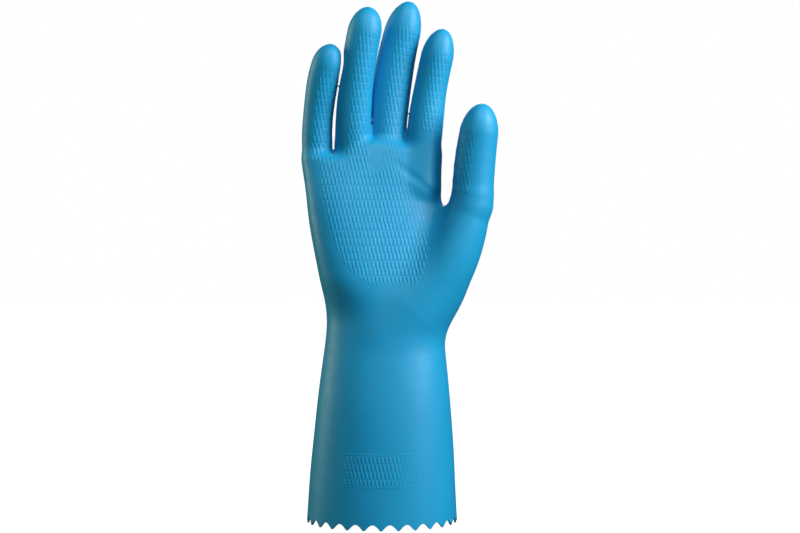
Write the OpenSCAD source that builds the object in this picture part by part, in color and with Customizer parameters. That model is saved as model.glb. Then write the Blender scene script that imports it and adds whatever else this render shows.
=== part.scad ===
// A right-hand household rubber glove with a scalloped gauntlet, standing fingers up.
// The palm faces -Y and the thumb is on the +X side.
// Two layers are modelled: the outer rubber film and the flock lining bonded inside it.
// The glove is divided at its flex lines. Each stiff stretch of film and its lining turn as one,
// and a flex sleeve of film bridges the gap across every flex line.

/* [Film] */
// Thickness of the outer rubber film
film_t = 0.6; // [0.4:0.1:1]
// Thickness of the flock lining
flock_t = 0.4; // [0.2:0.1:0.6]
// Thickness of the adhesive line between film and lining
bond_t = 0.05; // [0.02:0.01:0.1]

/* [Gauntlet] */
// Number of teeth along the scalloped edge
tooth_count = 28; // [20:1:34]
// Height of the scalloped teeth
tooth_h = 3.7; // [2:0.1:5]
// Height of the straight part of the gauntlet, from the edge to the first flex line
gauntlet_top = 89; // [85:1:91]

/* [Wrist] */
// Height of the stiff band between the side-to-side and the front-to-back flex sleeves
band_z = 108; // [107.5:0.5:108.5]
// Height at which the palm starts
palm_z = 143; // [142:1:144]

/* [Flex lines] */
// Place of the root flex line along a finger, as a share of its length
root_at = 0.11; // [0.1:0.01:0.12]
// Place of the middle flex line along a finger
middle_at = 0.43; // [0.42:0.01:0.44]
// Place of the tip flex line along a finger
tip_at = 0.73; // [0.72:0.01:0.74]
// Place of the thumb's root flex line
thumb_root_at = 0.16; // [0.15:0.01:0.18]
// Place of the thumb's joint
thumb_joint_at = 0.6; // [0.58:0.01:0.62]

/* [Hidden] */
PARTING = 0.1;      // gap between a sleeve and the stiff stretch beside it
BAND_HALF = 1.6;    // half the height of the wrist band
FINGER_SIDES = 20;
BODY_SIDES = 40;
TOOTH_STEPS = 4;    // points along each tooth of the scalloped edge
GAUNTLET_SIDES = tooth_count * TOOTH_STEPS;
LINING_IN = film_t + bond_t;
CAVITY_IN = LINING_IN + flock_t;
DEPTH_SHARE = 0.95; // depth of a finger's section as a share of its width
FLEX_REACH = 0.78;  // half length of a flex sleeve as a share of the finger's root radius
CORNER_FILL = 0.06; // how far the hand's section fills out beyond an ellipse
POINT_R = 0.2;      // smallest radius, where a fingertip closes
CAP_STEPS = 5;      // sections along a fingertip
PALM_TOP = 231;
STUB = 14;          // length of each finger's root inside the palm, along the finger
CUT = 100;          // half size of the block that trims the palm's lower end
CAP_CUT = 20;       // half size of the block that trims a fingertip's lower end
GAUNTLET_LEVELS = [28, 59];
PALM_LEVELS = [152, 163, 178, 199, 213, 224];

FILM = [0.16, 0.6, 0.82];
FLEX = [0.24, 0.68, 0.88];
FLOCK = [0.86, 0.92, 0.95];

// A finger is [root, control point, tip, radius at the root, radius towards the tip, tip length].
// The first three set a quadratic curve for the centreline. The round tip is half an ellipsoid.
INDEX = [[26.6, 0, 238], [29.4, -1, 271], [38.2, -11, 303.2], 10.5, 9.9, 18];
MIDDLE = [[4.4, 2, 241], [6.6, 3, 283], [17.6, -9, 320.5], 11.1, 11, 20];
RING = [[-18.2, -1.5, 241], [-17, -6, 281], [-6.8, -14, 315.8], 11.2, 10.6, 17];
LITTLE = [[-41, 1, 234], [-40, -2, 267], [-31, -15, 294], 9.4, 9.3, 13.5];
THUMB = [[55.6, -14, 201], [57.4, -16, 229], [61, -24, 255.8], 12.6, 11.6, 14];

// The mound at the thumb's root, from the wrist up to the thumb's first section
THENAR = [[20.6, -4, 133], [42, -9, 160], THUMB[0], 21.6, THUMB[3]];

// The web between thumb and palm: height, middle, half width and half thickness.
// It slants towards the front from WEB_START on.
WEB = [[149, 29, 20.6, 15], [170, 35, 20.6, 13], [186, 41, 17.5, 10], [196, 44, 12.4, 6]];
WEB_START = 25;
WEB_SLANT = 0.35;

// Outline of the gauntlet and hand by height: left side, right side, half depth
LEFT = [[0, -46.6], [25, -44.8], [50, -42.8], [75, -39.8], [99, -36.7], [118, -34.2],
        [128, -34.4], [137, -35.4], [149, -38.5], [174, -43.5], [199, -47.4], [224, -49.6],
        [235, -49.2]];
RIGHT = [[0, 46.6], [25, 45.4], [50, 44.1], [75, 42.3], [99, 39.8], [118, 39.1],
         [126, 42], [137, 47], [143, 49.5], [157, 48.5], [178, 40.2], [199, 37.9],
         [235, 37.7]];
DEPTH = [[0, 39], [25, 37.5], [75, 33.6], [99, 29.9], [118, 27.3], [143, 24.7], [168, 22.2],
         [199, 19], [224, 14], [235, 9.3]];

// ---- curve of a finger ----

function mix(a, b, t) = a + (b - a) * t;
function unit(v) = v / norm(v);
function centre(f, t) = mix(mix(f[0], f[1], t), mix(f[1], f[2], t), t);
function tangent(f, t) = unit(mix(f[1] - f[0], f[2] - f[1], t));
function side(f, t) = unit(cross([0, 1, 0], tangent(f, t)));
function back(f, t) = cross(tangent(f, t), side(f, t));
function span(f) = norm(f[2] - f[0]);

// Radius at t: a straight taper that ends in the round tip
function taper(f, t) = mix(f[3], f[4], t);
function dome(f, t) = min(1, (1 - t) * span(f) / f[5]);
function radius(f, t) = taper(f, t) * sqrt(max(0, 1 - pow(1 - dome(f, t), 2)));

// One section of a finger, its wall moved inwards by inset
function finger_ring(f, t, inset) =
    let (r = max(POINT_R, radius(f, t) - inset))
    [for (i = [0:FINGER_SIDES - 1])
        let (a = 360 * i / FINGER_SIDES)
        centre(f, t) + side(f, t) * r * cos(a) + back(f, t) * r * DEPTH_SHARE * sin(a)];

// ---- sections of the gauntlet and hand ----

// The section is an ellipse whose corners fill out by a few percent
function body_point(z, a, inset) =
    let (l = lookup(z, LEFT) + inset, r = lookup(z, RIGHT) - inset)
    let (d = lookup(z, DEPTH) - inset, fill = 1 + CORNER_FILL * pow(sin(2 * a), 2))
    [(l + r) / 2 + (r - l) / 2 * fill * cos(a), d * fill * sin(a), z];

function body_ring(z, inset, sides = BODY_SIDES) =
    [for (i = [0:sides - 1]) body_point(z, 360 * i / sides, inset)];

// The scalloped edge: narrow teeth with round hollows between them
function edge_ring(inset) =
    [for (i = [0:GAUNTLET_SIDES - 1])
        let (a = 360 * i / GAUNTLET_SIDES)
        body_point(tooth_h * abs(sin(a * tooth_count / 2)), a, inset)];

// ---- solids from rings ----

// Triangles between two rings of n points that start at indices a and b
function band(a, b, n) =
    [for (i = [0:n - 1]) let (j = (i + 1) % n)
        each [[a + i, a + j, b + j], [a + i, b + j, b + i]]];

function flipped(faces) = [for (f = faces) [f[2], f[1], f[0]]];
function flat(lists) = [for (l = lists) each l];

// A closed wall between outer rings and inner rings, open at both ends
module tube_wall(outer, inner) {
    n = len(outer[0]);
    last = len(outer) - 1;
    first_inner = len(outer) * n;
    outside = flat([for (k = [0:last - 1]) band(k * n, (k + 1) * n, n)]);
    inside = flat([for (k = [0:last - 1])
        band(first_inner + k * n, first_inner + (k + 1) * n, n)]);
    start = band(first_inner, 0, n);
    end = band(last * n, first_inner + last * n, n);
    polyhedron(concat(flat(outer), flat(inner)),
        flipped(concat(outside, flipped(inside), start, end)), convexity = 4);
}

// A solid through rings, capped with a fan at both ends
module lofted(rings) {
    n = len(rings[0]);
    last = len(rings) - 1;
    sides = flat([for (k = [0:last - 1]) band(k * n, (k + 1) * n, n)]);
    low = [for (i = [1:n - 2]) [0, i + 1, i]];
    high = [for (i = [1:n - 2]) [last * n, last * n + i, last * n + i + 1]];
    polyhedron(flat(rings), flipped(concat(sides, low, high)), convexity = 4);
}

// ---- stretches of a finger ----

// Half the length of the film that flexes at a hinge, as a share of the finger's length
function flex_half(f) = FLEX_REACH * f[3] / span(f);

// A stiff or flexing stretch of one layer between shares t0 and t1 of the finger
module finger_tube(f, t0, t1, inset, wall) {
    steps = [0, 0.5, 1];
    tube_wall([for (s = steps) finger_ring(f, mix(t0, t1, s), inset)],
        [for (s = steps) finger_ring(f, mix(t0, t1, s), inset + wall)]);
}

// The closed end of a finger from t0: the dome's steps get shorter towards the end
module finger_cap(f, t0, inset, wall) {
    function tip_t(s, lost) = mix(t0, 1 - lost / span(f), sin(90 * s));
    steps = [for (i = [0:CAP_STEPS]) i / CAP_STEPS];
    difference() {
        lofted([for (s = steps) finger_ring(f, tip_t(s, inset), inset)]);
        lofted([for (s = steps) finger_ring(f, tip_t(s, inset + wall), inset + wall)]);
        translate(centre(f, t0))
            multmatrix(ring_frame(f, t0))
                translate([-CAP_CUT, -CAP_CUT, PARTING - CAP_CUT])
                    cube([2 * CAP_CUT, 2 * CAP_CUT, CAP_CUT]);
    }
}

// Turns the Z axis to the finger's direction at t
function ring_frame(f, t) =
    let (u = side(f, t), v = back(f, t), w = tangent(f, t))
    [[u[0], v[0], w[0], 0], [u[1], v[1], w[1], 0], [u[2], v[2], w[2], 0], [0, 0, 0, 1]];

// Stiff stretches and sleeves of a finger with flex lines at the shares in list at
function gap(f) = PARTING / span(f);

module stiff(f, at, k, inset, wall) {
    t0 = at[k] + flex_half(f) + gap(f);
    if (k < len(at) - 1)
        finger_tube(f, t0, at[k + 1] - flex_half(f) - gap(f), inset, wall);
    else
        finger_cap(f, t0, inset, wall);
}

module sleeve(f, at, k) {
    color(FLEX)
        finger_tube(f, max(gap(f), at[k] - flex_half(f)), at[k] + flex_half(f), 0, CAVITY_IN);
}

module film(f, at, k) { color(FILM) stiff(f, at, k, 0, film_t); }
module lining(f, at, k) { color(FLOCK) stiff(f, at, k, LINING_IN, flock_t); }

THREE = [root_at, middle_at, tip_at];
TWO = [thumb_root_at, thumb_joint_at];

// ---- gauntlet and wrist ----

module body_tube(z0, z1, inset, wall, steps = 3) {
    tube_wall([for (s = [0:steps]) body_ring(mix(z0, z1, s / steps), inset)],
        [for (s = [0:steps]) body_ring(mix(z0, z1, s / steps), inset + wall)]);
}

module gauntlet_layer(inset, wall) {
    levels = concat([2 * tooth_h], GAUNTLET_LEVELS, [gauntlet_top]);
    function rings(i) = concat([edge_ring(i)],
        [for (z = levels) body_ring(z, i, GAUNTLET_SIDES)]);
    tube_wall(rings(inset), rings(inset + wall));
}

module gauntlet_film() { color(FILM) gauntlet_layer(0, film_t); }
module gauntlet_lining() { color(FLOCK) gauntlet_layer(LINING_IN, flock_t); }

module wrist_tilt_sleeve() {
    color(FLEX) body_tube(gauntlet_top + PARTING, band_z - BAND_HALF - PARTING, 0, CAVITY_IN);
}

module wrist_band_film() {
    color(FILM) body_tube(band_z - BAND_HALF, band_z + BAND_HALF, 0, film_t, 1);
}

module wrist_band_lining() {
    color(FLOCK) body_tube(band_z - BAND_HALF, band_z + BAND_HALF, LINING_IN, flock_t, 1);
}

module wrist_bend_sleeve() {
    color(FLEX) body_tube(band_z + BAND_HALF + PARTING, palm_z - PARTING, 0, CAVITY_IN, 5);
}

// ---- palm ----

// The hand's outer shape moved inwards by inset. past lengthens its open ends.
module hand_shape(inset, past) {
    heights = concat([palm_z - 1 - past, palm_z], PALM_LEVELS, [PALM_TOP - inset]);
    lofted([for (z = heights) body_ring(z, inset)]);
    for (f = [INDEX, MIDDLE, RING, LITTLE])
        lofted([for (s = [-STUB, past]) finger_ring_out(f, s, inset)]);
    lofted(concat([for (t = [0, 0.25, 0.5, 0.75]) thenar_ring(t, inset)],
        [for (s = past > 0 ? [0, past] : [0]) finger_ring_out(THUMB, s, inset)]));
    lofted([for (w = WEB) web_ring(w, inset)]);
}

// A finger's first section moved along the finger by d
function finger_ring_out(f, d, inset) =
    [for (p = finger_ring(f, 0, inset)) p + tangent(f, 0) * d];

function thenar_ring(t, inset) =
    let (r = taper(THENAR, t) - inset)
    [for (i = [0:FINGER_SIDES - 1])
        let (a = 360 * i / FINGER_SIDES)
        centre(THENAR, t) + side(THENAR, t) * r * cos(a) + back(THENAR, t) * r * sin(a)];

// The web between the thumb and the palm thins out towards its top edge
function web_ring(w, inset) =
    let (half = w[2] - inset, thick = w[3] - inset, top = w[0] == WEB[len(WEB) - 1][0])
    [for (i = [0:FINGER_SIDES - 1])
        let (a = 360 * i / FINGER_SIDES, x = w[1] + half * cos(a))
        [x, thick * sin(a) - WEB_SLANT * (x - WEB_START), w[0] - (top ? inset : 0)]];

module palm_layer(inset, wall) {
    difference() {
        hand_shape(inset, 0);
        hand_shape(inset + wall, 1);
        translate([-CUT, -CUT, palm_z - CUT]) cube([2 * CUT, 2 * CUT, CUT]);
    }
}

module palm_film() { color(FILM) palm_layer(0, film_t); }
module palm_lining() { color(FLOCK) palm_layer(LINING_IN, flock_t); }

// ---- nodes ----

gauntlet_film();
gauntlet_lining();
wrist_tilt_sleeve();
wrist_band_film();
wrist_band_lining();
wrist_bend_sleeve();
palm_film();
palm_lining();
sleeve(THUMB, TWO, 0);  // thumb_root_sleeve
film(THUMB, TWO, 0);  // thumb_base_film
lining(THUMB, TWO, 0);  // thumb_base_lining
sleeve(THUMB, TWO, 1);  // thumb_joint_sleeve
film(THUMB, TWO, 1);  // thumb_tip_film
lining(THUMB, TWO, 1);  // thumb_tip_lining

FINGER_NAMES = [["index", INDEX], ["middle", MIDDLE], ["ring", RING], ["little", LITTLE]];
PARTS = ["base", "middle", "tip"];
FLEX_NAMES = ["root", "middle", "tip"];
for (nf = FINGER_NAMES, k = [0:2]) {
    sleeve(nf[1], THREE, k);
    film(nf[1], THREE, k);
    lining(nf[1], THREE, k);
}
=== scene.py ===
"""A right-hand household rubber glove: a dipped film with a moulded grip pattern, and its flock lining.

The whole outer surface is one smooth field, the distance from the skin in millimetres. The hand is
netted from that field, and the gauntlet and wrist are a regular mesh laid on it. Film and flock are
each cut into closed shells, and the cuts lie where the joints leave the skin stiff.
"""
import math

import bmesh
import bpy
import numpy as np
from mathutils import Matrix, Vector


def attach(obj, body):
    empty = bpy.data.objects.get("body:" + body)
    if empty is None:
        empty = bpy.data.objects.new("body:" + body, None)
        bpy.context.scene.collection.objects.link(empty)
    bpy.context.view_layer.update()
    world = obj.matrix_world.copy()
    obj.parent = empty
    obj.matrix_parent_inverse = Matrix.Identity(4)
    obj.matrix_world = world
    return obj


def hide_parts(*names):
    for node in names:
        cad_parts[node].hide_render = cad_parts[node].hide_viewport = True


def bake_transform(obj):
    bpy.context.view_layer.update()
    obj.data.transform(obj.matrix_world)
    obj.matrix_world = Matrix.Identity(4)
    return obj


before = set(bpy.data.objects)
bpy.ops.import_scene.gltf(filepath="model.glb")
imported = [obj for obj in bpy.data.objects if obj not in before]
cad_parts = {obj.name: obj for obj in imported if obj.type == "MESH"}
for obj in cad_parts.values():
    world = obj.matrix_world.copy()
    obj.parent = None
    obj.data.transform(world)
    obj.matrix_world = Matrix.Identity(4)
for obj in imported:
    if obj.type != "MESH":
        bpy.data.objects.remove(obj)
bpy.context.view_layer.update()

MM = 0.001

# ---------------------------------------------------------------- the hand's measures, in mm

FILM_T = 0.6
LINING_FROM, LINING_TO = 0.65, 1.05  # depth of the flock's two faces under the skin
TEETH, TOOTH_H = 28, 3.7
DEPTH_SHARE = 0.95  # a finger's depth over its width

# A finger: the three points of its centreline, the length of its round tip, how far its shape is
# followed below its root, and its radius along it, as (share of length, radius)
FINGERS = {
    "index": ((26.2, -1.5, 238), (29.2, -2, 271), (38.2, -11, 303.2), 18, -0.45,
              [(-0.4, 10.7), (0, 11.0), (0.2, 10.8), (0.4, 10.3), (0.7, 10.1), (1, 9.7)]),
    "middle": ((3.8, 3, 241), (5.2, 5, 283), (18.1, -8, 320.5), 20, -0.45,
               [(-0.4, 11.1), (0, 11.5), (0.35, 12.0), (0.6, 11.8), (0.8, 11.2), (1, 10.5)]),
    "ring": ((-18, -2, 241), (-16.6, -11, 281), (-6.8, -16, 315.8), 17, -0.45,
             [(-0.4, 11.1), (0, 11.1), (0.35, 10.5), (0.7, 10.4), (1, 10.3)]),
    "little": ((-40.4, 1, 234), (-40.2, -3, 267), (-29.4, -15, 292.9), 13.5, -0.45,
               [(-0.45, 6.4), (-0.2, 8.6), (0, 9.4), (0.35, 9.4), (0.65, 9.7), (0.8, 9.5), (1, 9)]),
    "thumb": ((55.6, -14, 201), (56.8, -16, 229), (62, -24, 255.8), 18, -0.1,
              [(-0.4, 12.6), (0, 12.7), (0.35, 12.5), (0.7, 11.7), (1, 11)]),
}
THENAR = ((20.6, -4, 133), (46, -9, 160), (55.6, -14, 201), 0, -0.3, [(0, 21.6), (0.8, 14.3), (1, 11.6)])

# The outline of gauntlet and hand: its two sides and its half depth, by height
LEFT = [(-12, -47.4), (0, -46.6), (25, -44.8), (50, -42.6), (75, -39.8), (99, -36.7), (110, -35.2),
        (118, -34.4), (128, -34.4), (137, -35.6), (149, -38.4), (162, -41), (174, -43.2), (186, -45.2),
        (199, -46.8), (211, -47.9), (224, -49.1), (236, -49.6), (250, -49.8)]
RIGHT = [(-12, 47.2), (0, 46.6), (25, 45.4), (50, 44.1), (75, 42.3), (99, 39.9), (112, 39.0),
         (118, 39.2), (126, 41.6), (137, 46), (143, 47), (157, 45.5), (178, 39.6), (199, 36.7),
         (213, 36.2), (228, 36.6), (250, 37.2)]
DEPTH = [(-12, 39.6), (0, 39), (25, 37.5), (50, 35.8), (75, 33.4), (99, 30), (118, 27.3),
         (143, 24.9), (168, 22.4), (199, 18.6), (224, 14), (236, 11.4), (250, 10.5)]
# Height at which the palm closes, across the hand: it sets the crotches between the fingers
TOP = [(-60, 227), (-42, 228), (-24.5, 227.5), (-12, 234), (-2.5, 236.4), (8, 234.5), (20, 232.4),
       (32, 231), (50, 228)]
FOUR = ("index", "middle", "ring", "little")
CROTCHES = [("index", "middle", 236.0), ("middle", "ring", 239.5), ("ring", "little", 231.0)]
SLOT = 1.3  # least gap between neighbouring fingers
WAVE_H = 0.09  # height of the film's unevenness
FAR = 100.0  # deeper than any point of the glove
CROTCH_RISE, CROTCH_FRONT, CROTCH_DEPTH = 0.5, -8.0, 20.0  # crotches rise to the back of the hand
CREASE = (9, 221), (37, 198), 0.45, 2.6  # the fold across the palm: its ends, depth and width
# Web between thumb and palm: height, middle, half width, half thickness
WEB = [(140, 26, 18, 14), (149, 29, 20, 14.5), (170, 35, 20, 12.5), (186, 40.5, 17, 9),
       (196, 43.5, 13, 6), (210, 46, 10, 5)]
WEB_TOP, WEB_LOW, WEB_START, WEB_SLANT = 191.5, 150, 25, 0.35

# ---------------------------------------------------------------- small tools


def spline(points, step=0.5):
    """A natural cubic through (place, value) points, as arrays for np.interp."""
    x, y = (np.array(v, float) for v in zip(*points))
    n, h = len(x), np.diff(x)
    a, b = np.eye(n), np.zeros(n)
    for i in range(1, n - 1):
        a[i, i - 1:i + 2] = h[i - 1], 2 * (h[i - 1] + h[i]), h[i]
        b[i] = 6 * ((y[i + 1] - y[i]) / h[i] - (y[i] - y[i - 1]) / h[i - 1])
    m = np.linalg.solve(a, b)
    s = np.append(np.arange(x[0], x[-1], step * min(1, (x[-1] - x[0]) / 50)), x[-1])
    k = np.clip(np.searchsorted(x, s, "right") - 1, 0, n - 2)
    u, v = x[k + 1] - s, s - x[k]
    out = (m[k] * u ** 3 + m[k + 1] * v ** 3) / (6 * h[k]) + (y[k] / h[k] - m[k] * h[k] / 6) * u \
        + (y[k + 1] / h[k] - m[k + 1] * h[k] / 6) * v
    return s, out


def smin(a, b, k):
    h = np.clip(0.5 + 0.5 * (b - a) / k, 0, 1)
    return b + (a - b) * h - k * h * (1 - h)


def smax(a, b, k):
    return -smin(-a, -b, k)


def step(x, lo, hi):
    t = np.clip((x - lo) / (hi - lo), 0, 1)
    return t * t * (3 - 2 * t)


def unit(v):
    return v / np.maximum(np.linalg.norm(v, axis=-1, keepdims=True), 1e-12)


def poly_inside(x, z, corners):
    """Distance inside a polygon, negative outside."""
    best, odd = np.full(x.shape, 1e9), np.zeros(x.shape, bool)
    for (x0, z0), (x1, z1) in zip(corners, corners[1:] + corners[:1]):
        ex, ez = x1 - x0, z1 - z0
        t = np.clip(((x - x0) * ex + (z - z0) * ez) / (ex * ex + ez * ez), 0, 1)
        best = np.minimum(best, np.hypot(x - x0 - t * ex, z - z0 - t * ez))
        odd ^= ((z0 > z) != (z1 > z)) & (x < x0 + (z - z0) * ex / (ez if ez else 1e-9))
    return np.where(odd, best, -best)


class Limb:
    """A round limb on a quadratic centreline, closed by a round tip."""

    def __init__(self, root, control, tip, tip_length, low, radii):
        self.low, self.tip = low, tip_length
        self.a, self.b, self.c = (np.array(v, float) for v in (root, control, tip))
        self.bend = self.a - 2 * self.b + self.c
        self.span = np.linalg.norm(self.c - self.a)
        self.s, self.r = spline(radii, 0.01)

    def at(self, t):
        t = np.asarray(t, float)[..., None]
        return self.a + 2 * t * (self.b - self.a) + t * t * self.bend

    def way(self, t):
        t = np.asarray(t, float)[..., None]
        return unit(self.b - self.a + t * self.bend)

    def radius(self, t):
        return np.interp(t, self.s, self.r)

    def nearest(self, p):
        t = np.clip((p - self.a) @ (self.c - self.a) / self.span ** 2, self.low, 1)
        for _ in range(3):
            d = self.at(t) - p
            v = 2 * (self.b - self.a + t[:, None] * self.bend)
            f = (d * v).sum(1)
            g = (v * v).sum(1) + 2 * (d @ self.bend)
            t = np.clip(t - f / np.maximum(g, 0.3 * (v * v).sum(1)), self.low, 1)
        return t

    def local(self, p):
        """Of each point: its share along the centreline, and how far it lies sideways, back and on."""
        t = self.nearest(p)
        w = self.way(t)
        side = unit(np.cross([0.0, 1.0, 0.0], w))
        back = np.cross(w, side)
        d = p - self.at(t)
        return t, (d * side).sum(1), (d * back).sum(1), (d * w).sum(1)


LIMBS = {name: Limb(*f) for name, f in FINGERS.items()}
MOUND = Limb(*THENAR)
TAB = {name: spline(t) for name, t in (("left", LEFT), ("right", RIGHT), ("depth", DEPTH))}
TOP_S = spline(TOP)
WEB_S = [spline([(w[0], w[i]) for w in WEB]) for i in (1, 2, 3)]


def tab(name, z):
    return np.interp(z, *TAB[name])


def section(x, y, a, d, n):
    """First-order distance from a rounded section with half sizes a and d and the exponent n."""
    u, v = np.abs(x) / a + 1e-6, np.abs(y) / d + 1e-6
    f = (u ** n + v ** n) ** (1 / n)
    g = np.hypot(u ** (n - 1) / a, v ** (n - 1) / d) * f ** (1 - n)
    return (f - 1) / np.maximum(g, 1e-4)


def body(p):
    x, y, z = p.T
    l, r, d = tab("left", z), tab("right", z), tab("depth", z)
    hand = step(z, 120, 170)
    across = np.clip((2 * x - l - r) / (r - l), -1, 1)
    # the palm is flat but rolls off softly below the index finger
    soft = step(across, 0.0, 0.6) * step(z, 175, 200)
    n = np.where(y < 0, 2.15 + 0.75 * hand - 0.6 * soft, 2.15 + 0.1 * hand)
    # it is deepest on the little finger's side
    lean = 0.28 * step(z, 122, 152) * (1 - step(z, 196, 228))
    d = d * np.where(y < 0, 1 - 0.02 * hand - lean * across, 1 + 0.04 * hand)
    dist = section(x - (l + r) / 2, y, (r - l) / 2, d, n)
    return smax(dist, z - np.interp(x, *TOP_S), 7.0)


def web(p):
    x, y, z = p.T
    cx, w, th = (np.interp(z, *s) for s in WEB_S)
    dist = section(x - cx, y + WEB_SLANT * (x - WEB_START), w, th, 2.2)
    return smax(smax(dist, z - WEB_TOP, 4.0), WEB_LOW - z, 8.0)


def limb(name, p, local=None):
    """Distance from a finger, whose round tip is half an ellipsoid bent along the centreline."""
    o = LIMBS[name]
    t, s, b, w = local or o.local(p)
    r = o.radius(t)
    past = t * o.span + w - (o.span - o.tip)
    below = t < o.low + 1e-6
    end, reach = np.where(below, w, np.maximum(past, 0)), np.where(below, r, o.tip)
    parts = [(s, r), (b, r * DEPTH_SHARE), (end, reach)]
    f = np.sqrt(sum((v / k) ** 2 for v, k in parts) + 1e-9)
    g = np.sqrt(sum((v / k ** 2) ** 2 for v, k in parts)) / f
    return (f - 1) / np.maximum(g, 0.5 / o.tip)


def crease(p, a, b, depth, width):
    """A soft valley along the line from a to b, seen from the palm side."""
    x, y, z = p.T
    ex, ez = b[0] - a[0], b[1] - a[1]
    t = np.clip(((x - a[0]) * ex + (z - a[1]) * ez) / (ex * ex + ez * ez), 0, 1)
    q = np.hypot(x - a[0] - t * ex, z - a[1] - t * ez) / width
    return depth * np.exp(-q * q) * step(-y, 2, 8) * np.sin(np.pi * np.clip(t * 0.92 + 0.04, 0, 1)) ** 0.5


def smooth_skin(p, locals_=None):
    """Distance from the glove's outer face without the grip pattern."""
    x, y, z = p.T
    d = body(p)
    t, s, b, w = MOUND.local(p)
    mound = np.sqrt(s * s + b * b + w * w) - MOUND.radius(t)
    d = smin(d, mound, 11.0)
    d = smin(d, web(p), 6.0)
    d = smin(d, limb("thumb", p, locals_ and locals_["thumb"]), 3.0)
    each = {name: limb(name, p, locals_ and locals_[name]) for name in FOUR}
    fingers, slots = each["index"], np.full(len(p), -FAR)
    fall = z - CROTCH_RISE * np.clip(y - CROTCH_FRONT, 0, CROTCH_DEPTH)
    for name, other, crotch in CROTCHES:
        fingers = smin(fingers, each[other], 0.05 + 3.0 * (1 - step(fall, crotch + 1, crotch + 7)))
        # neighbours stay a slot apart above their crotch, however close they run
        width = (SLOT / 2 + 1.5) * step(fall, crotch - 1, crotch + 3) - 1.5
        deep = FAR * (1 - step(fall, crotch - 8, crotch - 2))
        slots = np.maximum(slots, width - np.abs(each[name] - each[other]) / 2 - deep)
    d = smin(d, fingers, 4.5)
    d = smax(d, slots, 0.4)
    d = d + crease(p, *CREASE)
    # the film never lies perfectly even
    wave = np.sin(x / 7.3 + z / 19.0) * np.sin(y / 9.1 - z / 13.7 + 1.3)
    wave = wave + 0.6 * np.sin(x / 4.1 - z / 8.3 + y / 6.0)
    return d + WAVE_H * wave


# ---------------------------------------------------------------- grip pattern

PITCH, ROWS, GRIP_H = 2.35, 9.2, 0.19  # between ridges, between every second row, and their height
LEAN = 0.12  # slant of each ridge
FINGER_NEAR, FINGER_FAR = 0.32, 0.93  # where a finger's grip ends on the palm, in radii from its middle
PALM_GRIP = [(-38.9, 229), (-38.2, 197.9), (-31.6, 176.6), (-25.5, 161.5), (-16.4, 151.1),
             (-6.1, 145.3), (20, 145.3), (26.1, 152.4), (28.5, 161.5), (29.1, 179.7), (27.9, 194.8),
             (20, 207), (13.5, 216.5), (10.9, 220), (2, 219.5), (-3.6, 217.5), (-16, 221.5),
             (-28, 222.5), (-31, 229)]
PANEL = (-23.6, 22.2, 25.6, 45.4)  # the grip panel low on the gauntlet


def scales(u, v):
    """Short slanted ridges in staggered rows, from 0 to 1, as on fish scales."""
    row = np.sin(2 * np.pi * v / ROWS)
    turn = np.tanh(2.6 * row) / np.tanh(2.6)
    in_row = ((2 * v / ROWS) % 1 - 0.5) * ROWS / 2
    ridge = 0.5 + 0.5 * np.cos(2 * np.pi * (u + LEAN * in_row) / PITCH + 0.5 * np.pi * turn)
    return ridge ** 1.2 * (1 - 0.75 * np.exp(-((row / 0.36) ** 2)))


def grip(p, locals_=None):
    """Height of the moulded pattern over the skin."""
    x, y, z = p.T
    front = step(-y, 1.0, 4.0)
    palm = front * step(poly_inside(x, z, PALM_GRIP), 0.0, 2.5)
    palm = palm * (1 - 0.6 * step(x, 4, 20) * step(z, 168, 190))
    h = palm * scales(x, z)
    for name in (*FOUR, "thumb"):
        o = LIMBS[name]
        t, s, b, w = (locals_ and locals_[name]) or o.local(p)
        r = o.radius(t)
        angle = np.degrees(np.arctan2(s, -b))  # 0 faces the palm side, positive towards the thumb
        below = (p - o.a) @ o.way(0.0)
        on_palm = step(x - o.a[0] + FINGER_NEAR * r, 0, 0.8) * step(o.a[0] + FINGER_FAR * r - x, 0, 0.8)
        near = np.where(below < 0, on_palm, step(r + 2.5 - np.hypot(s, b), 0, 1))
        along = np.where(below < 0, below, t * o.span + w)
        if name == "thumb":
            mask = step(52 - np.abs(angle + 62), 0, 5) * step(t, 0.02, 0.06) * step(along, 0, 3) \
                * step(o.span - 9 - along, 0, 8) * 0.8
        else:
            low = {"index": 3.0, "middle": -24.0, "ring": -24.0, "little": -10.0}[name]
            turned = np.where(below < 0, 1.0, step(44 - np.abs(angle - 27), 0, 9))
            mask = turned * front * step(along, low - 1, low + 1) * step(o.span - 9 - along, 0, 9)
            if name == "middle":
                mask = mask * (1 - 0.5 * step(-below, 0, 8))
        u = np.where(along > 0, o.a[0] + s, x)
        v = np.where(along > 0, o.a[2] + along, z)
        h = np.maximum(h, mask * near * scales(u, v))
    # the panel low on the gauntlet, in a faint raised frame, its far end worn smooth
    x0, x1, z0, z1 = PANEL
    inside = np.minimum(np.minimum(x - x0, x1 - x), np.minimum(z - z0, z1 - z))
    fade = 1 - 0.85 * step(x, 6, 16)
    panel = step(inside, 1.0, 1.8) * fade * scales(x, z + 1.6)
    border = np.exp(-(((inside - 0.4) / 0.55) ** 2)) * (0.45 - 0.2 * step(x, 6, 20))
    h = np.maximum(h, front * (z < 60) * np.maximum(panel, border))
    return GRIP_H * h


def all_locals(p):
    return {name: o.local(p) for name, o in LIMBS.items()}


def skin(p):
    loc = all_locals(p)
    return smooth_skin(p, loc) - grip(p, loc)


def gradient(field, p, e=0.06):
    g = np.empty_like(p)
    for i in range(3):
        o = np.zeros(3)
        o[i] = e
        g[:, i] = (field(p + o) - field(p - o)) / (2 * e)
    return g


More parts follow.
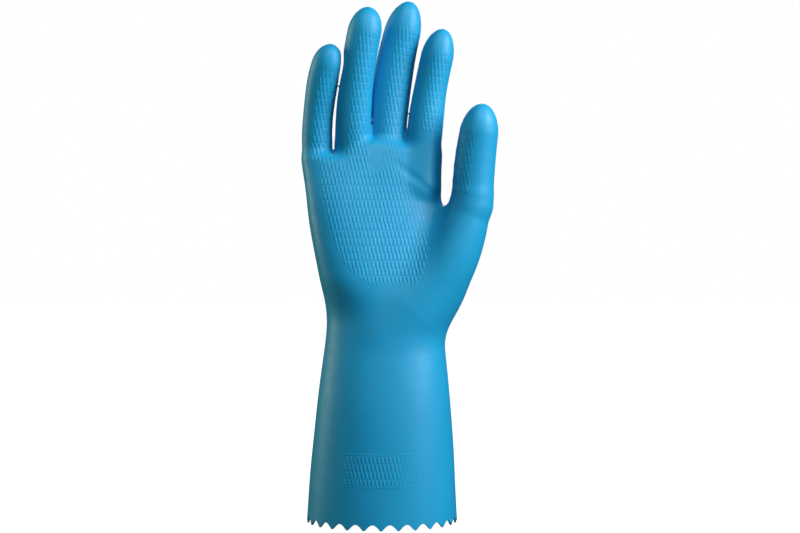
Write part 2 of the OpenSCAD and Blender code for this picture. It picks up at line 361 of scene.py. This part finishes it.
def settle(field, p, rounds=3, level=False):
    """Moves points onto the field's zero; level keeps each at its own height."""
    p = p.copy()
    for _ in range(rounds):
        g = gradient(field, p)
        if level:
            g[:, 2] = 0
        move = field(p)[:, None] * g / np.maximum((g * g).sum(1), 0.05)[:, None]
        p -= np.clip(move, -2.0, 2.0)
    return p


# ---------------------------------------------------------------- nets


def net(field, lo, hi, h):
    """Surface net of field = 0 on a grid of pitches h: vertices and quads."""
    axes = [np.arange(a, b + k, k) for a, b, k in zip(lo, hi, h)]
    n = [len(a) for a in axes]
    v = np.empty(n)
    for k in range(0, n[2], 12):  # in slabs, to hold memory down
        g = np.stack(np.meshgrid(axes[0], axes[1], axes[2][k:k + 12], indexing="ij"), -1)
        v[:, :, k:k + 12] = field(g.reshape(-1, 3)).reshape(g.shape[:3])
    m = [k - 1 for k in n]
    total, place, inside = np.zeros(m), np.zeros(m + [3]), np.zeros(m, int)
    for c in np.ndindex(2, 2, 2):
        inside += v[c[0]:m[0] + c[0], c[1]:m[1] + c[1], c[2]:m[2] + c[2]] < 0
    for axis in range(3):
        others = [i for i in range(3) if i != axis]
        for c in np.ndindex(2, 2):
            o = [0, 0, 0]
            o[others[0]], o[others[1]] = c
            q = list(o)
            q[axis] = 1
            a = v[o[0]:m[0] + o[0], o[1]:m[1] + o[1], o[2]:m[2] + o[2]]
            b = v[q[0]:m[0] + q[0], q[1]:m[1] + q[1], q[2]:m[2] + q[2]]
            cut = (a < 0) != (b < 0)
            t = np.where(cut, a / np.where(cut, a - b, 1), 0)
            total += cut
            for i in range(3):
                place[..., i] += np.where(cut, t if i == axis else o[i], 0)
    mixed = (inside > 0) & (inside < 8)
    index = np.full(m, -1)
    index[mixed] = np.arange(mixed.sum())
    cell = np.argwhere(mixed)
    points = (cell + place[mixed] / total[mixed][:, None]) * np.array(h) + np.array([a[0] for a in axes])
    quads = []
    for axis in range(3):
        b, c = [(axis + 1) % 3, (axis + 2) % 3]
        lo_s, hi_s = [slice(1, -1)] * 3, [slice(1, -1)] * 3
        lo_s[axis], hi_s[axis] = slice(0, -1), slice(1, None)
        s0, s1 = v[tuple(lo_s)] < 0, v[tuple(hi_s)] < 0
        at = np.argwhere(s0 != s1)
        flip = s1[s0 != s1]
        at[:, b] += 1
        at[:, c] += 1
        around = []
        for db, dc in ((-1, -1), (0, -1), (0, 0), (-1, 0)):
            k = at.copy()
            k[:, b] += db
            k[:, c] += dc
            around.append(index[tuple(k.T)])
        q = np.stack(around, 1)
        q[flip] = q[flip][:, ::-1]
        quads.append(q[(q >= 0).all(1)])
    return points, np.concatenate(quads)


def face_edges(quads):
    e = np.stack([quads, np.roll(quads, -1, 1)], -1).reshape(-1, 2)
    key = np.sort(e, 1)
    return e, key


def border_edges(quads):
    """Directed edges that belong to one face only."""
    e, key = face_edges(quads)
    flat = key[:, 0].astype(np.int64) << 32 | key[:, 1]
    _, where, count = np.unique(flat, return_index=True, return_counts=True)
    return e[where[count == 1]]


def relax(field, p, quads, rounds, fixed):
    _, key = face_edges(quads)
    key = np.unique(key, axis=0)
    a, b = key.T
    n = len(p)
    degree = np.bincount(a, minlength=n) + np.bincount(b, minlength=n)
    for _ in range(rounds):
        total = [np.bincount(a, p[b, i], n) + np.bincount(b, p[a, i], n) for i in range(3)]
        mean = np.stack(total, 1) / degree[:, None]
        new = np.where(fixed[:, None], p, 0.4 * p + 0.6 * mean)
        p = settle(field, new, 1)
        p[fixed] = new[fixed]
    return p


HAND_Z = 145.0  # where the regular mesh of the wrist meets the netted hand


def hand_net(h, rounds):
    p, q = net(smooth_skin, (-56, -44, HAND_Z - h[2] / 2), (78, 34, 324), h)
    rim = np.unique(border_edges(q))
    fixed = np.zeros(len(p), bool)
    fixed[rim] = True
    p[rim, 2] = HAND_Z
    p[rim] = settle(smooth_skin, p[rim], 4, level=True)
    p = settle(smooth_skin, p, 1)
    p[rim, 2] = HAND_Z
    return relax(smooth_skin, p, q, rounds, fixed), q


BLUNT = 0.06  # how blunt the points of the scalloped edge are


def edge_height(a):
    """Height of the scalloped edge at the angle a: round hollows between narrow, slightly blunt points."""
    s = np.abs(np.sin(a * TEETH / 2))
    return TOOTH_H * (np.sqrt(s * s + BLUNT) - math.sqrt(BLUNT)) / (math.sqrt(1 + BLUNT) - math.sqrt(BLUNT))


def tube(z_rows, around, field=None):
    """A regular grid of points on the skin, row by row. A row is a height, or a function of the angle."""
    a = 2 * np.pi * np.arange(around) / around
    rows = []
    for z in z_rows:
        h = z(a) if callable(z) else np.full(around, float(z))
        l, r, d = tab("left", h), tab("right", h), tab("depth", h)
        rows.append(np.stack([(l + r) / 2 + (r - l) / 2 * np.cos(a), d * np.sin(a), h], 1))
    p = settle(smooth_skin, np.concatenate(rows), 4, level=True)
    k = np.arange(len(z_rows) - 1)[:, None] * around
    i = np.arange(around)[None]
    j = (i + 1) % around
    q = np.stack([k + i, k + j, k + around + j, k + around + i], -1).reshape(-1, 4)
    return p, q


# ---------------------------------------------------------------- pieces


def make_shell(name, p, q, depth0, depth1, material, grip_cuts=0):
    """A closed shell between two depths under the skin, its outer face refined by grip_cuts on the grip."""
    used, inverse = np.unique(q, return_inverse=True)
    p, q = p[used], inverse.reshape(q.shape)
    n = unit(gradient(smooth_skin, p, 0.2))
    outer, inner = p - n * depth0, p - n * depth1
    count = len(p)
    rim = border_edges(q)
    bm = bmesh.new()
    skin_layer = bm.faces.layers.int.new("skin")
    out_layer = bm.verts.layers.float.new("out")
    verts = [bm.verts.new(v) for v in outer.tolist()] + [bm.verts.new(v) for v in inner.tolist()]
    for v in verts[:count]:
        v[out_layer] = 1.0
    for f in q.tolist():
        bm.faces.new([verts[i] for i in f])[skin_layer] = 1
        bm.faces.new([verts[i + count] for i in reversed(f)])[skin_layer] = 0
    for a, b in rim.tolist():
        bm.faces.new([verts[b], verts[a], verts[a + count], verts[b + count]])[skin_layer] = 2
    bm.verts.index_update()
    if grip_cuts:
        on = grip(outer) > 0
        near = np.zeros(count, bool)
        near[q[on[q].any(1)]] = True
        marked = [e for e in bm.edges
                  if e.verts[0].index < count and e.verts[1].index < count
                  and near[e.verts[0].index] and near[e.verts[1].index]]
        if marked:
            bmesh.ops.subdivide_edges(bm, edges=marked, cuts=grip_cuts, use_grid_fill=True)
    for e in bm.edges:
        kinds = {f[skin_layer] for f in e.link_faces}
        e.smooth = len(kinds) == 1
    for f in bm.faces:
        f.smooth = True
    me = bpy.data.meshes.new(name)
    bm.verts.index_update()
    bm.to_mesh(me)
    bm.free()
    total = len(me.vertices)
    co = np.empty(total * 3)
    me.vertices.foreach_get("co", co)
    co = co.reshape(-1, 3)
    out = np.empty(total, np.float32)
    me.attributes["out"].data.foreach_get("value", out)
    is_out = out > 0.999
    normal = np.zeros((total, 3))
    if depth0 == 0:
        co[is_out] = settle(skin, co[is_out], 3) if grip_cuts else settle(smooth_skin, co[is_out], 1)
        normal[is_out] = unit(gradient(skin if grip_cuts else smooth_skin, co[is_out], 0.08))
    me.vertices.foreach_set("co", (co * MM).ravel())
    kind = np.empty(len(me.polygons), np.int32)
    me.attributes["skin"].data.foreach_get("value", kind)
    me.update()
    if depth0 == 0:
        starts, totals = np.empty(len(me.polygons), np.int32), np.empty(len(me.polygons), np.int32)
        me.polygons.foreach_get("loop_start", starts)
        me.polygons.foreach_get("loop_total", totals)
        corner_kind = np.repeat(kind, totals)
        corner_vert = np.empty(len(me.loops), np.int32)
        me.loops.foreach_get("vertex_index", corner_vert)
        custom = np.where((corner_kind == 1)[:, None], normal[corner_vert], 0.0)
        me.normals_split_custom_set(custom.tolist())
    for layer in ("skin", "out"):
        me.attributes.remove(me.attributes[layer])
    o = bpy.data.objects.new(name, me)
    bpy.context.scene.collection.objects.link(o)
    me.materials.append(material)
    return o


def cuts_of(p):
    """For each point of the hand: the limb it is on, or an empty name, and its share of the way along it."""
    owner, place, best = np.full(len(p), "", object), np.zeros(len(p)), np.full(len(p), 1e9)
    for name, o in LIMBS.items():
        here = o.local(p)
        away = limb(name, p, here)
        along = (p - o.a) @ o.way(0.0)  # in mm past the root
        on = (away < best) & (away < 4) & (along > ROOT_CUT)
        owner[on], place[on], best[on] = name, here[0][on], away[on]
    return owner, place


ROOT_CUT = -1.9
FLEX = {  # by share of the limb: each stretch, where its bend starts and ends, and where it ends
    "finger": [("root", 0.0, 0.24, 0.2675), ("middle", 0.295, 0.565, 0.5975), ("tip", 0.63, 0.84, 9)],
    "thumb": [("root", 0.01, 0.27, 0.365), ("tip", 0.46, 0.74, 9)],
}
GAUNTLET_TOP, TILT_TOP = 88.0, 107.5


def split_hand(p, q):
    """Faces of the hand by piece: {piece: (faces, limb, stretch number)}."""
    owner, place = cuts_of(p[q].mean(1))
    found = {"palm": (q[owner == ""], None, 0)}
    for name in LIMBS:
        kind = "thumb" if name == "thumb" else "finger"
        low = -9.0
        for k, (stretch, _, _, high) in enumerate(FLEX[kind]):
            on = (owner == name) & (place >= low) & (place < high)
            found[f"{name}_{stretch}"] = (q[on], name, k)
            low = high
    return found


def hang(o, name, k):
    """Bakes the transform of a piece of a finger into its mesh."""
    kind = "thumb" if name == "thumb" else "finger"
    _, t0, t1, _ = FLEX[kind][k]
    limb_ = LIMBS[name]
    start, end = limb_.at(t0), limb_.at(t1)
    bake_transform(o)


def cad_nodes(name, k, kind):
    """The CAD nodes that a piece of a finger stands for."""
    part = (["base", "tip"] if name == "thumb" else ["base", "middle", "tip"])[k]
    flex = (["root", "joint"] if name == "thumb" else ["root", "middle", "tip"])[k]
    return [f"{name}_{flex}_sleeve", f"{name}_{part}_film"] if kind == "skin" else [f"{name}_{part}_lining"]


# ---------------------------------------------------------------- materials


def nodes_of(name):
    m = bpy.data.materials.new(name)
    m.use_nodes = True
    t = m.node_tree
    t.nodes.clear()
    out = t.nodes.new("ShaderNodeOutputMaterial")
    bsdf = t.nodes.new("ShaderNodeBsdfPrincipled")
    t.links.new(bsdf.outputs[0], out.inputs[0])
    coord = t.nodes.new("ShaderNodeTexCoord")
    return m, t, bsdf, coord.outputs["Object"]


def noise(t, coord, scale, detail=3.0, rough=0.55):
    n = t.nodes.new("ShaderNodeTexNoise")
    n.inputs["Scale"].default_value = scale
    n.inputs["Detail"].default_value = detail
    n.inputs["Roughness"].default_value = rough
    t.links.new(coord, n.inputs["Vector"])
    return n.outputs["Fac"]


def span(t, value, lo, hi, a, b):
    n = t.nodes.new("ShaderNodeMapRange")
    for key, x in (("From Min", lo), ("From Max", hi), ("To Min", a), ("To Max", b)):
        n.inputs[key].default_value = x
    t.links.new(value, n.inputs["Value"])
    return n.outputs["Result"]


def mix(t, fac, a, b):
    n = t.nodes.new("ShaderNodeMix")
    n.data_type = "RGBA"
    for key, v in ((6, a), (7, b)):
        if isinstance(v, tuple):
            n.inputs[key].default_value = (*v, 1)
        else:
            t.links.new(v, n.inputs[key])
    t.links.new(fac, n.inputs[0])
    return n.outputs[2]


def bump(t, bsdf, height, distance, strength, before=None):
    n = t.nodes.new("ShaderNodeBump")
    n.inputs["Distance"].default_value = distance
    n.inputs["Strength"].default_value = strength
    t.links.new(height, n.inputs["Height"])
    if before is not None:
        t.links.new(before, n.inputs["Normal"])
    t.links.new(n.outputs[0], bsdf.inputs["Normal"])
    return n.outputs[0]


def rubber():
    m, t, bsdf, coord = nodes_of("glove_rubber")
    cloud = noise(t, coord, 22.0, 3)
    fine = noise(t, coord, 260.0, 4)
    grain = noise(t, coord, 1700.0, 2)
    tone = mix(t, span(t, cloud, 0.3, 0.7, 0, 1), (0.009, 0.350, 0.640), (0.012, 0.385, 0.690))
    tone = mix(t, span(t, fine, 0.35, 0.75, 0, 0.35), tone, (0.007, 0.320, 0.600))
    t.links.new(tone, bsdf.inputs["Base Color"])
    rough = span(t, fine, 0.3, 0.7, 0.42, 0.54)
    t.links.new(rough, bsdf.inputs["Roughness"])
    bsdf.inputs["IOR"].default_value = 1.52
    bsdf.inputs["Specular IOR Level"].default_value = 0.4
    low = bump(t, bsdf, fine, 0.00012, 0.5)
    bump(t, bsdf, grain, 0.00004, 0.5, low)
    return m


def flock():
    m, t, bsdf, coord = nodes_of("glove_flock")
    tuft = noise(t, coord, 900.0, 4, 0.7)
    cloud = noise(t, coord, 60.0, 3)
    tone = mix(t, span(t, cloud, 0.3, 0.7, 0, 1), (0.52, 0.72, 0.82), (0.62, 0.80, 0.88))
    tone = mix(t, span(t, tuft, 0.35, 0.7, 0, 1), (0.42, 0.64, 0.76), tone)
    t.links.new(tone, bsdf.inputs["Base Color"])
    bsdf.inputs["Roughness"].default_value = 0.95
    bsdf.inputs["Specular IOR Level"].default_value = 0.15
    bsdf.inputs["Sheen Weight"].default_value = 0.6
    bsdf.inputs["Sheen Roughness"].default_value = 0.5
    bump(t, bsdf, tuft, 0.0003, 0.9)
    return m


RUBBER, FLOCK = rubber(), flock()

# ---------------------------------------------------------------- the glove


def finish_piece(nodes):
    if nodes:
        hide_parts(*nodes)


def level(z):
    return (0.0, 0.0, z * MM)


def rows(z0, z1, pitch):
    return list(np.linspace(z0, z1, max(2, int(round((z1 - z0) / pitch)) + 1)))


def lower_pieces(around, pitch, depth0, depth1, material, suffix, cuts, nodes):
    lift = [lambda a, s=s: edge_height(a) * (1 - s) + 8.0 * s for s in np.linspace(0, 1, 8 if cuts else 5)]
    stretches = {
        "gauntlet": lift + rows(8.0, GAUNTLET_TOP, pitch)[1:],
        "wrist_tilt": rows(GAUNTLET_TOP, TILT_TOP, pitch),
        "wrist_bend": rows(TILT_TOP, HAND_Z, pitch),
    }
    for name, heights in stretches.items():
        p, q = tube(heights, around)
        o = make_shell(f"{name}_{suffix}", p, q, depth0, depth1, material, cuts if name == "gauntlet" else 0)
        if name == "gauntlet":
            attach(o, "gauntlet")
        elif name == "wrist_tilt":
            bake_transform(o)
        else:
            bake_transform(o)
        finish_piece(nodes[name])


def hand_pieces(h, rounds, depth0, depth1, material, suffix, cuts):
    p, q = hand_net(h, rounds)
    for piece, (faces, name, k) in split_hand(p, q).items():
        o = make_shell(f"{piece}_{suffix}", p, faces, depth0, depth1, material, cuts)
        if name is None:
            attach(o, "palm")
            finish_piece(["palm_film" if suffix == "skin" else "palm_lining"])
        else:
            hang(o, name, k)
            finish_piece(cad_nodes(name, k, suffix))


lower_pieces(TEETH * 13, 1.3, 0.0, FILM_T, RUBBER, "skin", 2,
             {"gauntlet": ["gauntlet_film"], "wrist_tilt": ["wrist_tilt_sleeve", "wrist_band_film"],
              "wrist_bend": ["wrist_bend_sleeve"]})
hand_pieces((0.85, 1.2, 1.2), 3, 0.0, FILM_T, RUBBER, "skin", 2)
lower_pieces(TEETH * 8, 3.0, LINING_FROM, LINING_TO, FLOCK, "flock", 0,
             {"gauntlet": ["gauntlet_lining"], "wrist_tilt": ["wrist_band_lining"], "wrist_bend": []})
hand_pieces((0.85, 2.0, 2.0), 2, LINING_FROM, LINING_TO, FLOCK, "flock", 0)

# ---------------------------------------------------------------- stage, lights and camera

CAM_DISTANCE, EYE, MIDDLE_X = 0.868, 0.1575, 0.0112
VIEW_WIDTH = 800 * 0.0006214  # width of the view at the glove
SENSOR = 36.0
FLOOR_SIDES, FLOOR_R, FLOOR_Z = 64, 6.0, -0.0002


def floor_paper():
    m, t, bsdf, coord = nodes_of("floor_paper")
    tone = mix(t, noise(t, coord, 8.0), (0.14, 0.14, 0.14), (0.16, 0.16, 0.16))
    t.links.new(tone, bsdf.inputs["Base Color"])
    bsdf.inputs["Roughness"].default_value = 0.9
    bsdf.inputs["Emission Color"].default_value = (1, 1, 1, 1)
    bsdf.inputs["Emission Strength"].default_value = 1.0
    return m


floor_mesh = bpy.data.meshes.new("floor")
turns = [2 * math.pi * i / FLOOR_SIDES for i in range(FLOOR_SIDES)]
floor_mesh.from_pydata([(FLOOR_R * math.cos(a), FLOOR_R * math.sin(a), FLOOR_Z) for a in turns],
                       [], [list(range(FLOOR_SIDES))])
floor = bpy.data.objects.new("floor", floor_mesh)
bpy.context.scene.collection.objects.link(floor)
floor_mesh.materials.append(floor_paper())
floor.visible_diffuse = False
floor.visible_glossy = False


def softbox(name, azimuth, elevation, distance, width, height, power, colour=(1, 1, 1), aim=(0, 0, 0.21)):
    light = bpy.data.lights.new(name, "AREA")
    light.shape = "RECTANGLE"
    light.size, light.size_y = width, height
    light.energy = power
    light.color = colour
    o = bpy.data.objects.new(name, light)
    a, e = math.radians(azimuth), math.radians(elevation)
    back = np.array([math.sin(a) * math.cos(e), -math.cos(a) * math.cos(e), math.sin(e)])
    o.location = Vector(aim) + Vector(back * distance)
    o.rotation_mode = "QUATERNION"
    o.rotation_quaternion = Vector(-back).to_track_quat("-Z", "Y")
    bpy.context.scene.collection.objects.link(o)
    return o


softbox("key", 60, 22, 0.8, 0.45, 0.5, 8.0, (0.92, 0.97, 1))
softbox("top", 0, 42, 1.0, 0.5, 0.6, 3.6, (0.97, 0.98, 1))
softbox("edge", -103, 12, 1.2, 0.4, 0.9, 6.4, (1, 1, 0.72))
softbox("back", 180, 25, 1.1, 0.6, 0.7, 5.0, (0.95, 0.98, 1))

world = bpy.data.worlds.new("studio")
bpy.context.scene.world = world
world.use_nodes = True
wt = world.node_tree
wt.nodes.clear()
w_out = wt.nodes.new("ShaderNodeOutputWorld")
w_mix = wt.nodes.new("ShaderNodeMixShader")
w_path = wt.nodes.new("ShaderNodeLightPath")
w_soft, w_seen = wt.nodes.new("ShaderNodeBackground"), wt.nodes.new("ShaderNodeBackground")
w_soft.inputs[0].default_value = (0.9, 0.96, 1, 1)
w_soft.inputs[1].default_value = 0.03
w_seen.inputs[0].default_value = (1, 1, 1, 1)
w_seen.inputs[1].default_value = 1.0
wt.links.new(w_path.outputs["Is Camera Ray"], w_mix.inputs[0])
wt.links.new(w_soft.outputs[0], w_mix.inputs[1])
wt.links.new(w_seen.outputs[0], w_mix.inputs[2])
wt.links.new(w_mix.outputs[0], w_out.inputs[0])

scene = bpy.context.scene
scene.view_settings.view_transform = "Standard"
scene.view_settings.look = "None"
cam = bpy.data.cameras.new("camera")
cam.sensor_width = SENSOR
cam.lens = SENSOR * CAM_DISTANCE / VIEW_WIDTH
cam_ob = bpy.data.objects.new("camera", cam)
cam_ob.location = (MIDDLE_X, -CAM_DISTANCE, EYE)
cam_ob.rotation_euler = (math.pi / 2, 0, 0)
scene.collection.objects.link(cam_ob)
scene.camera = cam_ob
